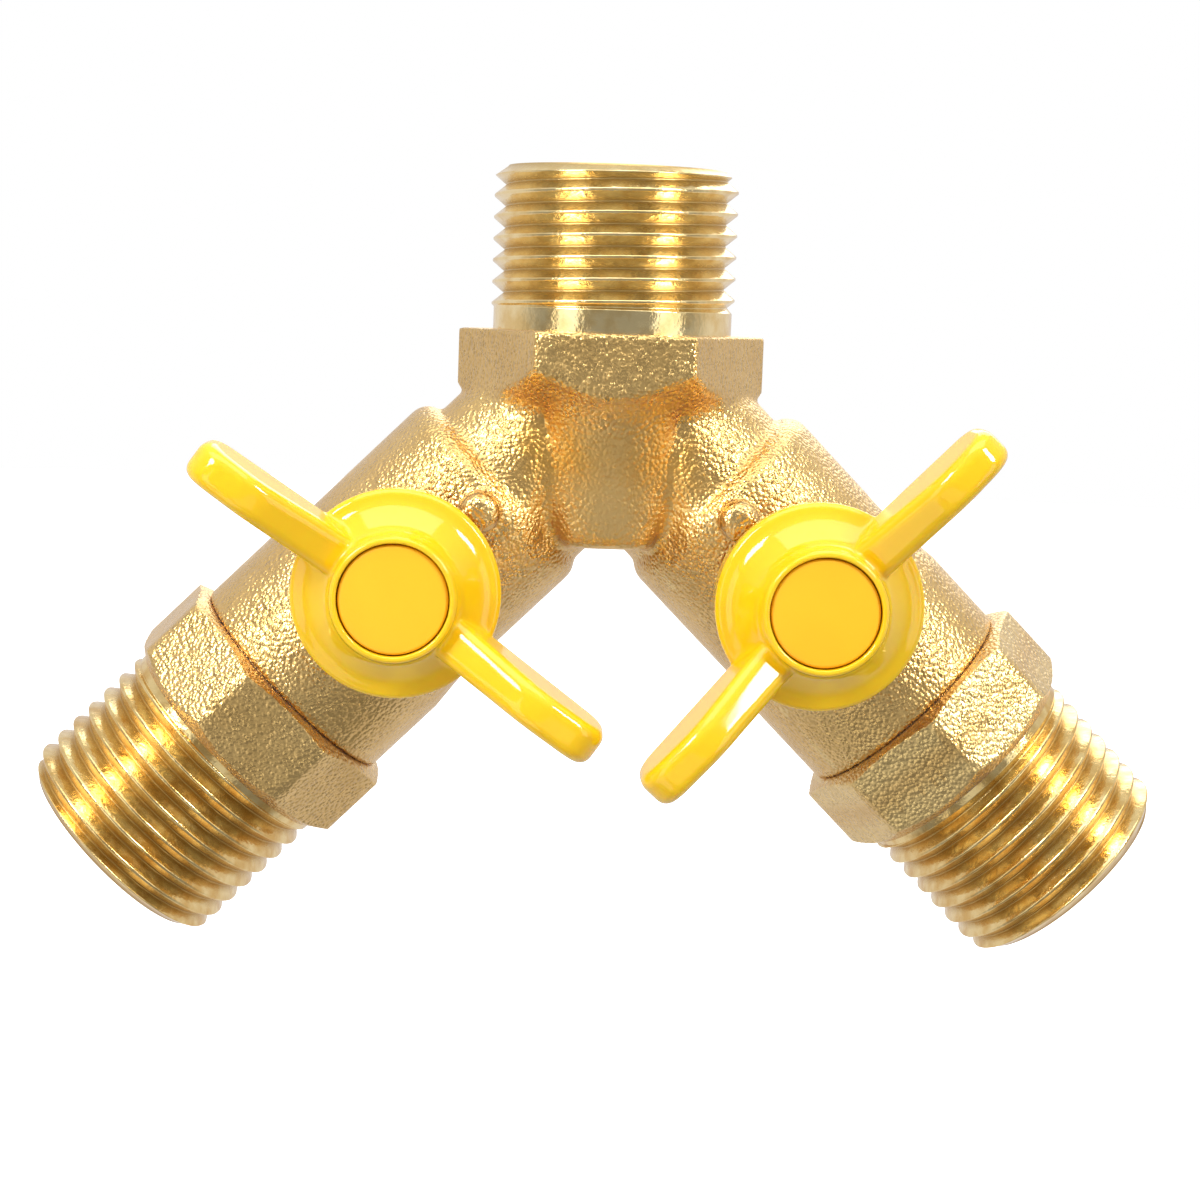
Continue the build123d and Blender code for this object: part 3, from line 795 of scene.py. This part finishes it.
def make_end_connector(side, cast, machined):
    """Shank, collar, octagon, helical thread and bore of one outlet."""
    first_corner = math.radians(OCT_TURN[side])
    thread_start = OCT_END + OUTLET_SHANK
    rows = [(SHANK_START, PASSAGE_R), (SHANK_START, SHANK_R), (SEAM, SHANK_R)]
    rows += [(SEAM + SEAM_GAP, SEAM_COLLAR_R), (OCT_START, SEAM_COLLAR_R)]
    rows += octagon_rows(first_corner)
    first_machined = len(rows) - 1
    rows += [(OCT_END + OCT_LIP, RUNOUT_R), (thread_start - OUTLET_GAP, RUNOUT_R)]
    first = len(rows)
    rows += thread_rows(thread_start, LEG_LENGTH - TIP_LENGTH, THREAD_SHIFT[side])
    last = len(rows)
    rows += [(LEG_LENGTH, FACE_R), (LEG_LENGTH, PORT_R + MOUTH_CHAMFER)]
    rows += [(LEG_LENGTH - MOUTH_CHAMFER, PORT_R), (PORT_END, PORT_R), (PORT_END, PASSAGE_R)]
    name = side + "_end_fitting"
    mesh = turned_mesh(name, rows, THREAD_SEGMENTS, leg_matrix(side), first_corner,
                       (first, last))
    piece = new_piece(name, mesh, "splitter_body", cast)
    mesh.materials.append(machined)
    index = np.zeros(len(mesh.polygons), np.int32)
    index[first_machined * THREAD_SEGMENTS:] = 1
    mesh.polygons.foreach_set("material_index", index)
    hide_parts(side + "_end_connector")


def make_knob(side, material):
    """Smooth domed stop knob on the front of a barrel."""
    centre = leg_matrix(side) @ Vector((0, 0, KNOB_AT))
    rows = [(KNOB_FOOT, 0.0), (KNOB_FOOT, KNOB_R), (KNOB_TOP - KNOB_DOME, KNOB_R)]
    for degrees in range(10, 81, 10):
        angle = math.radians(degrees)
        height = KNOB_TOP - KNOB_DOME + KNOB_DOME * math.sin(angle)
        rows.append((height, KNOB_R * math.cos(angle)))
    rows.append((KNOB_TOP, 0.0))
    name = side + "_stop_knob"
    mesh = turned_mesh(name, rows, KNOB_SEGMENTS, frame_matrix(centre, (1, 0, 0), (0, -1, 0)))
    new_piece(name, mesh, "splitter_body", material)


def make_handle(side, material):
    """Two-armed handle with its corners blended."""
    node = side + "_handle"
    passes = ((ARM_STEPS, arm_weight(side)), (BELL_STEPS, bell_weight(side)),
              (POLISH_STEPS, None))
    mesh = rounded_mesh(side + "_lever", cad_copy(node), HANDLE_VOXEL, passes)
    piece = new_piece(side + "_lever", mesh, side + "_valve_spindle", material)
    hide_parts(node)


def make_cap(side, material):
    """Round cap with a crowned face and a rolled edge."""
    rows = [(CAP_BOTTOM, 0.0), (CAP_BOTTOM, CAP_R - CAP_CHAMFER), (CAP_BOTTOM + CAP_CHAMFER, CAP_R)]
    for degrees in range(0, 91, 15):
        angle = math.radians(degrees)
        height = CAP_TOP - CAP_CROWN - CAP_EDGE + CAP_EDGE * math.sin(angle)
        rows.append((height, CAP_R - CAP_EDGE + CAP_EDGE * math.cos(angle)))
    rows += [(CAP_TOP - CAP_CROWN * (r / CAP_CROWN_R) ** 2, r) for r in CAP_CROWN_ROWS]
    name = side + "_cap_disc"
    mesh = turned_mesh(name, rows, CAP_SEGMENTS, stem_matrix(side))
    piece = new_piece(name, mesh, side + "_valve_spindle", material)
    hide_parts(side + "_handle_cap")


def finish_inner_parts():
    """Materials of the CAD nodes that only show through the bores.

    A later match wins, so that the O-rings on a stem are not finished as stems.
    """
    finishes = {ending: plain_finish(*finish) for ending, finish in INNER_FINISHES.items()}
    finishes.update({ending: finishes[other] for ending, other in SAME_FINISH.items()})
    for name, node in frame["nodes"].items():
        for ending, material in finishes.items():
            if ending in name:
                node.data.materials.clear()
                node.data.materials.append(material)


# ------------------------------------------------------- camera, light, stage
CAMERA_SPOT = Vector((-7.5, -220.0, -11.3)) * MM
CAMERA_TARGET = Vector((-0.2, 0.0, -36.8)) * MM
CAMERA_ROLL = math.radians(2.05)
CAMERA_LENS = 76.9
LIGHT_TARGET = Vector((0, 0, -0.035))

# in metres
FLOOR_DROP = 0.045          # splitter's lowest point to the floor
FLOOR_R = 1.2
FLOOR_SEGMENTS = 96


def make_camera():
    """Camera a little above and left of the splitter, turned about its own axis."""
    data = bpy.data.cameras.new("camera")
    camera = bpy.data.objects.new("camera", data)
    bpy.context.scene.collection.objects.link(camera)
    forward = (CAMERA_TARGET - CAMERA_SPOT).normalized()
    right = forward.cross(Vector((0, 0, 1))).normalized()
    up = right.cross(forward)
    right_rolled = right * math.cos(CAMERA_ROLL) + up * math.sin(CAMERA_ROLL)
    up_rolled = up * math.cos(CAMERA_ROLL) - right * math.sin(CAMERA_ROLL)
    turn = Matrix((right_rolled, up_rolled, -forward)).transposed().to_4x4()
    camera.matrix_world = Matrix.Translation(CAMERA_SPOT) @ turn
    data.lens = CAMERA_LENS
    data.sensor_width = 36.0
    data.clip_start = 0.005
    data.clip_end = 20.0
    bpy.context.scene.camera = camera


def area_light(name, direction, distance, size, radiance, lights_paint=True, mirrors=True):
    """Soft box that faces the splitter from the given direction, in metres."""
    data = bpy.data.lights.new(name, "AREA")
    data.shape = "RECTANGLE"
    data.size, data.size_y = size
    data.energy = radiance * math.pi * size[0] * size[1]
    light = bpy.data.objects.new(name, data)
    outward = Vector(direction).normalized()
    light.location = LIGHT_TARGET + outward * distance
    light.rotation_euler = (-outward).to_track_quat("-Z", "Y").to_euler()
    light.visible_diffuse = lights_paint
    light.visible_glossy = mirrors
    bpy.context.scene.collection.objects.link(light)


def make_lights():
    """Boxes overhead, at each upper side and behind, dim cards, and fills."""
    area_light("overhead", (0.0, -0.20, 1.0), 0.6, (0.7, 0.4), 1.9)
    area_light("box_left", (-0.62, -0.57, 0.53), 0.4, (0.12, 0.14), 18.0)
    area_light("box_right", (0.68, -0.52, 0.51), 0.4, (0.085, 0.13), 24.0)
    area_light("card_left", (-0.71, -0.70, -0.05), 0.5, (0.22, 0.30), 1.2, lights_paint=False)
    area_light("card_right", (0.80, -0.60, -0.05), 0.5, (0.24, 0.30), 1.2, lights_paint=False)
    area_light("card_low", (0.0, -0.93, -0.36), 0.5, (0.30, 0.16), 0.42, lights_paint=False)
    area_light("card_low_left", (-0.55, -0.58, -0.60), 0.5, (0.30, 0.22), 0.75, lights_paint=False)
    area_light("fill", (0.0, -0.92, 0.20), 0.7, (0.9, 0.4), 0.22, mirrors=False)
    area_light("fill_low", (-0.50, -0.55, -0.65), 0.5, (0.5, 0.4), 2.5, mirrors=False)
    area_light("rear_box", (0.3, 1.0, 0.7), 0.6, (0.4, 0.4), 2.0)


def make_surround():
    """White room for the camera; its walls light the splitter unevenly.

    The room is bright behind and above the splitter, dimmer in front and
    darkest below.
    """
    world = bpy.data.worlds.new("surround")
    bpy.context.scene.world = world
    world.use_nodes = True
    tree = world.node_tree
    place = tree.nodes.new("ShaderNodeTexCoord")
    axes = tree.nodes.new("ShaderNodeSeparateXYZ")
    tree.links.new(place.outputs["Generated"], axes.inputs["Vector"])
    back = smooth_range(tree, axes.outputs["Y"], -0.35, 0.35)
    top = smooth_range(tree, axes.outputs["Z"], 0.15, 0.85)
    lower = smooth_range(tree, axes.outputs["Z"], -0.9, 0.0)
    front_tone = mix_colours(tree, lower, grey(0.27), grey(0.32))
    wall = mix_colours(tree, back, front_tone, (0.79, 0.77, 0.80, 1))
    room = mix_colours(tree, top, wall, grey(0.80))
    path = tree.nodes.new("ShaderNodeLightPath")
    seen = mix_colours(tree, path.outputs["Is Camera Ray"], room, grey(1.0))
    tree.links.new(seen, tree.nodes["Background"].inputs["Color"])


def make_stage():
    """Pale round floor below the splitter."""
    work = bmesh.new()
    bmesh.ops.create_circle(work, cap_ends=True, segments=FLOOR_SEGMENTS, radius=FLOOR_R)
    floor = bpy.data.meshes.new("floor")
    work.to_mesh(floor)
    work.free()
    material, tree, shader = node_material("pale_paper")
    colour = noise_tones(tree, 8.0, 2.0, (0.0, grey(0.90)), (1.0, grey(0.94)))
    tree.links.new(colour, shader.inputs["Base Color"])
    shader.inputs["Roughness"].default_value = 0.9
    shader.inputs["Emission Color"].default_value = grey(1.0)
    shader.inputs["Emission Strength"].default_value = 0.75
    floor.materials.append(material)
    stage = bpy.data.objects.new("floor", floor)
    stage.location.z = CAD_BOUNDS[0].z - FLOOR_DROP
    stage.visible_diffuse = False
    stage.visible_glossy = False
    bpy.context.scene.collection.objects.link(stage)


def main():
    """Builds every piece, then the camera, the lights and the stage."""
    cast = cast_brass()
    plastic = glossy_plastic()
    cap = matte_cap()
    knob = plain_finish(*KNOB_FINISH)
    make_casting(cast)
    make_inlet_thread(machined_brass("inlet_thread_brass", Matrix.Identity(4), INLET_BRASS))
    for side in SIDES:
        machined = machined_brass(side + "_thread_brass", leg_matrix(side), OUTLET_BRASS)
        make_end_connector(side, cast, machined)
        make_knob(side, knob)
        make_handle(side, plastic)
        make_cap(side, cap)
    finish_inner_parts()
    make_camera()
    make_lights()
    make_surround()
    make_stage()
    bpy.context.scene.view_settings.view_transform = "Standard"


main()
